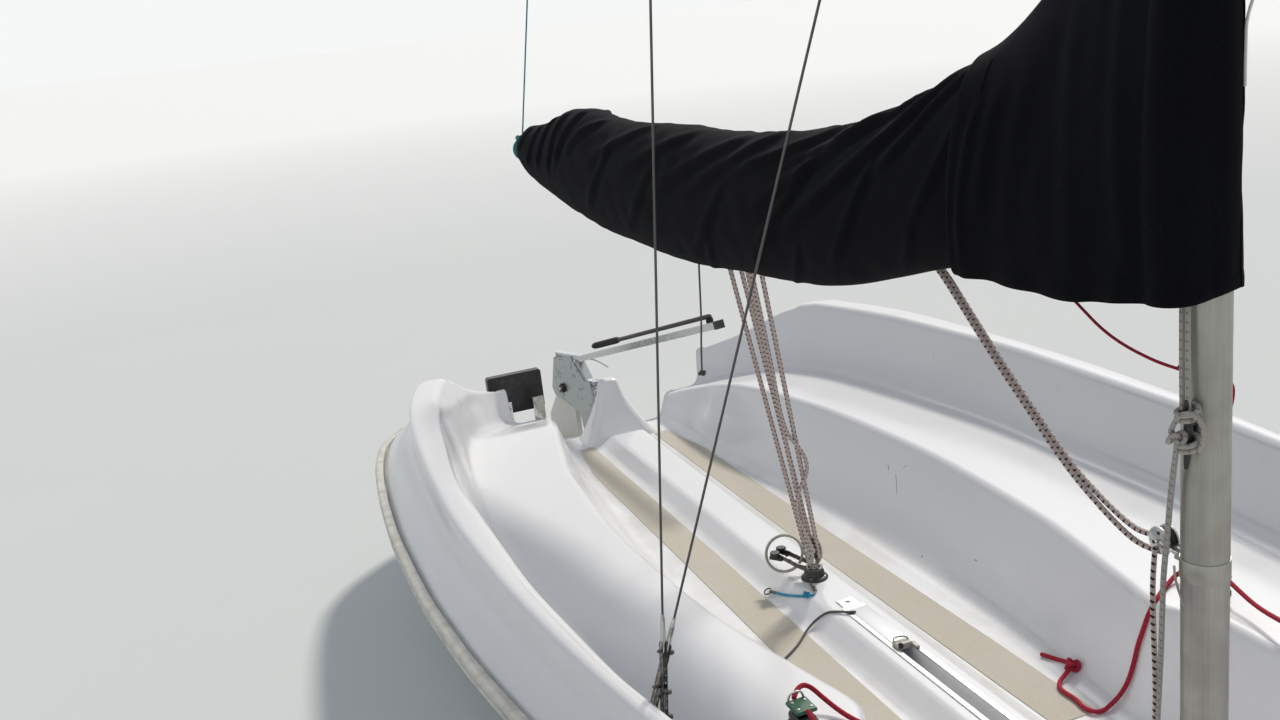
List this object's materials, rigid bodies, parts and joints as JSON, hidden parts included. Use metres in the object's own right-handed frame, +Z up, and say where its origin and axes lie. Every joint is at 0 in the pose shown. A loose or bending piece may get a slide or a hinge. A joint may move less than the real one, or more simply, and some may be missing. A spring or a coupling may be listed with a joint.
{
  "type": "sailing dinghy",
  "caption": "Open moulded sailing dinghy with side seats, open stern, stayed mast, boom under a cloth cover, lifting rudder and centreboard.",
  "frame": {"origin": "on the waterline, on the centreline, 2.2 m forward of the transom", "axes": "+X towards the bow, +Y to port, +Z up along the mast"},
  "size_m": [5.2008, 2.0744, 7.607],
  "materials": {
    "gelcoat": "gloss",
    "rail_rubber": "matt",
    "grip_sheet": "coarse",
    "spar_alloy": "satin",
    "plate_alloy": "satin",
    "stainless": "satin",
    "wire": "satin",
    "black_plastic": "matt",
    "green_plastic": "satin",
    "foil_laminate": "gloss",
    "cover_cloth": "woven",
    "sail_cloth": "smooth",
    "grip_rubber": "matt"
  },
  "bodies": {
    "hull": {"hull_moulding": "gelcoat", "deck_moulding": "gelcoat", "rub_rail": "rail_rubber", "floor_strips": "grip_sheet", "slot_trim": "stainless", "board_pin": "stainless", "mast_step": "stainless", "mast": "spar_alloy", "masthead": "black_plastic", "spreaders": "spar_alloy", "chainplates": "stainless", "shroud_adjusters": "stainless", "cap_shrouds": "wire", "lower_shrouds": "wire", "mast_tangs": "stainless", "stem_fitting": "stainless", "furler": "black_plastic", "furled_jib": "sail_cloth", "forestay": "wire", "gooseneck_bracket": "stainless", "cover_boot": "cover_cloth", "gudgeons": "stainless", "mainsheet_base": "black_plastic", "mainsheet_arm": "black_plastic", "ratchet_block": "black_plastic", "vang_tang": "stainless", "vang_block": "black_plastic", "mast_cleats": "black_plastic", "jib_cleat_bases": "black_plastic", "jib_cleat_tops": "green_plastic", "motor_pad": "black_plastic", "motor_bracket": "stainless"},
    "boom": {"gooseneck_toggle": "stainless", "boom": "spar_alloy", "boom_end_cap": "plate_alloy", "sail_cover": "cover_cloth"},
    "rudder": {"rudder_cheeks": "plate_alloy", "pintles": "stainless", "kick_bolt": "black_plastic", "tiller": "plate_alloy", "tiller_end_cap": "black_plastic", "tiller_joint": "grip_rubber", "tiller_extension": "black_plastic"},
    "blade": {"rudder_blade": "foil_laminate"},
    "board": {"centreboard": "foil_laminate"}
  },
  "joints": [
    {"name": "boom_swing", "type": "hinge", "parent": "hull", "child": "boom", "pos_m": [0.755, 0, 1.33], "axis": [0, 0, 1], "range_deg": [-55.5, 44.4], "deforming": ["cover_boot"]},
    {"name": "rudder_steer", "type": "hinge", "parent": "hull", "child": "rudder", "pos_m": [-2.32, 0, 0], "axis": [0, 0, 1], "range_deg": [-79, 51]},
    {"name": "rudder_kickup", "type": "hinge", "parent": "rudder", "child": "blade", "pos_m": [-2.5422, -0.0554, 0.254], "axis": [-0.2419, 0.9703, 0], "range_deg": [0, 100]},
    {"name": "centreboard_pivot", "type": "hinge", "parent": "hull", "child": "board", "pos_m": [0.49, 0, -0.04], "axis": [0, -1, 0], "range_deg": [0, 75]}
  ]
}
